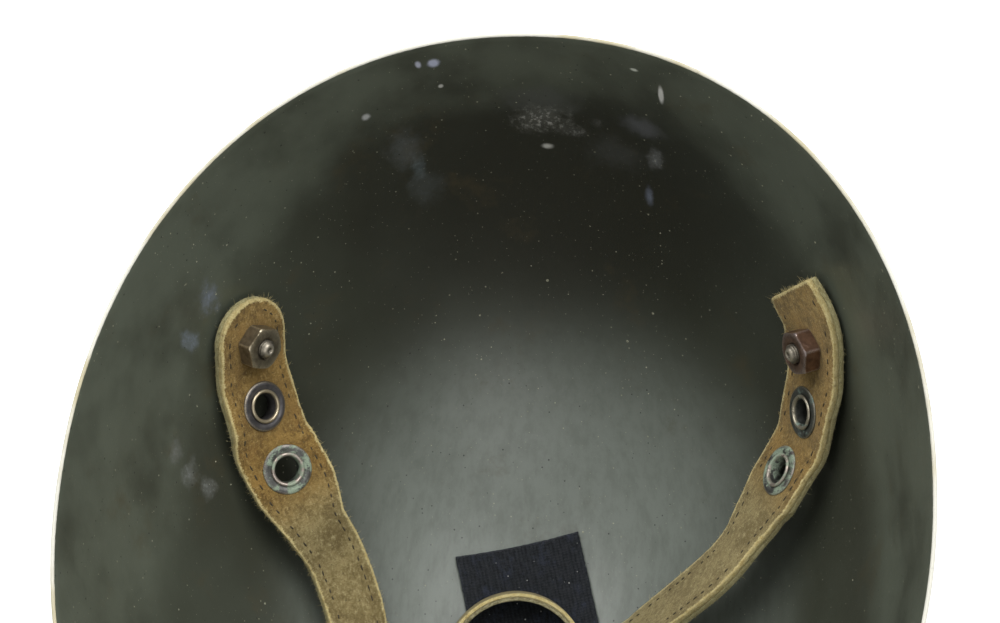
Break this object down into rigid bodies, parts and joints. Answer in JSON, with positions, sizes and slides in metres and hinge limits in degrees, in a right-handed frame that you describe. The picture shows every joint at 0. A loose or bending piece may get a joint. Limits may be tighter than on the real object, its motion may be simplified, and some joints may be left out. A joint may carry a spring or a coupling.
{
  "type": "paratrooper helmet",
  "caption": "Rimless steel parachutist's helmet without its liner, with bolted leather chin straps, a chin cup with its buckle, and a nape strap with a loop.",
  "frame": {"origin": "lowest point of the crown, in the middle of the helmet's plan, with the helmet lying upturned on its crown", "axes": "+Z out of the opening towards the wearer's neck, +Y towards the brow, +X towards the wearer's left side"},
  "size_m": [0.245, 0.282, 0.164],
  "materials": {
    "olive_paint": "semi-gloss dark olive paint, worn at the rim",
    "brown_steel": "dull grey-brown steel with traces of corrosion",
    "leather_face": "worn golden-olive leather with frayed pale edges",
    "leather_backing": "rough flesh side of the leather",
    "aged_brass": "tarnished brass with verdigris",
    "grey_wire": "dull grey wire",
    "webbing": "ribbed navy-black webbing"
  },
  "bodies": {
    "shell": {"shell": "olive_paint", "crown_patch": "webbing", "left_bolt": "olive_paint", "right_bolt": "olive_paint", "nape_bolt": "olive_paint", "left_bolt_washer": "brown_steel", "right_bolt_washer": "brown_steel", "nape_bolt_washer": "brown_steel", "left_nut": "brown_steel", "right_nut": "brown_steel", "nape_nut": "brown_steel", "left_hanger_face": "leather_face", "left_hanger_backing": "leather_backing", "right_hanger_face": "leather_face", "right_hanger_backing": "leather_backing", "nape_hanger_face": "leather_face", "nape_hanger_backing": "leather_backing", "left_upper_eyelet": "aged_brass", "left_upper_eyelet_washer": "aged_brass", "left_lower_eyelet": "aged_brass", "left_lower_eyelet_washer": "aged_brass", "right_upper_eyelet": "aged_brass", "right_upper_eyelet_washer": "aged_brass", "right_lower_eyelet": "aged_brass", "right_lower_eyelet_washer": "aged_brass", "nape_eyelet": "aged_brass", "nape_eyelet_washer": "aged_brass"},
    "left_strap": {"left_strap_face": "leather_face", "left_strap_backing": "leather_backing"},
    "right_strap": {"right_strap_face": "leather_face", "right_strap_backing": "leather_backing", "chin_cup_outer_ply": "leather_face", "chin_cup_inner_ply": "leather_backing", "chin_cup_rivets": "aged_brass", "chin_billet": "leather_face", "billet_rivets": "aged_brass"},
    "nape_strap": {"nape_strap_face": "leather_face", "nape_strap_backing": "leather_backing"},
    "buckle": {"buckle_frame": "grey_wire"},
    "prong": {"buckle_prong": "grey_wire"},
    "roller": {"buckle_roller": "grey_wire"},
    "nape_ring": {"nape_loop": "grey_wire"}
  },
  "joints": [
    {"name": "left_strap_bend", "type": "hinge", "parent": "shell", "child": "left_strap", "pos_m": [-0.07616, 0.02051, 0.06481], "axis": [-0.7462, -0.6297, 0.2159], "range_deg": [0, 105]},
    {"name": "right_strap_bend", "type": "hinge", "parent": "shell", "child": "right_strap", "pos_m": [0.07475, 0.02418, 0.06262], "axis": [-0.3724, 0.7018, -0.6073], "range_deg": [0, 105]},
    {"name": "nape_strap_bend", "type": "hinge", "parent": "shell", "child": "nape_strap", "pos_m": [0, -0.10348, 0.06898], "axis": [1, 0, 0], "range_deg": [0, 115]},
    {"name": "buckle_swing", "type": "hinge", "parent": "left_strap", "child": "buckle", "pos_m": [-0.05672, -0.0575, 0.0486], "axis": [-0.7852, 0.2129, 0.5814], "range_deg": [0, 45]},
    {"name": "prong_lift", "type": "hinge", "parent": "buckle", "child": "prong", "pos_m": [-0.05672, -0.0575, 0.0486], "axis": [-0.7852, 0.2129, 0.5814], "range_deg": [0, 60]},
    {"name": "roller_spin", "type": "hinge", "parent": "buckle", "child": "roller", "pos_m": [-0.05469, -0.07514, 0.05781], "axis": [-0.7852, 0.2129, 0.5814], "continuous": true},
    {"name": "nape_loop_swing", "type": "hinge", "parent": "nape_strap", "child": "nape_ring", "pos_m": [0, -0.09009, 0.05103], "axis": [1, 0, 0], "range_deg": [0, 80]}
  ]
}
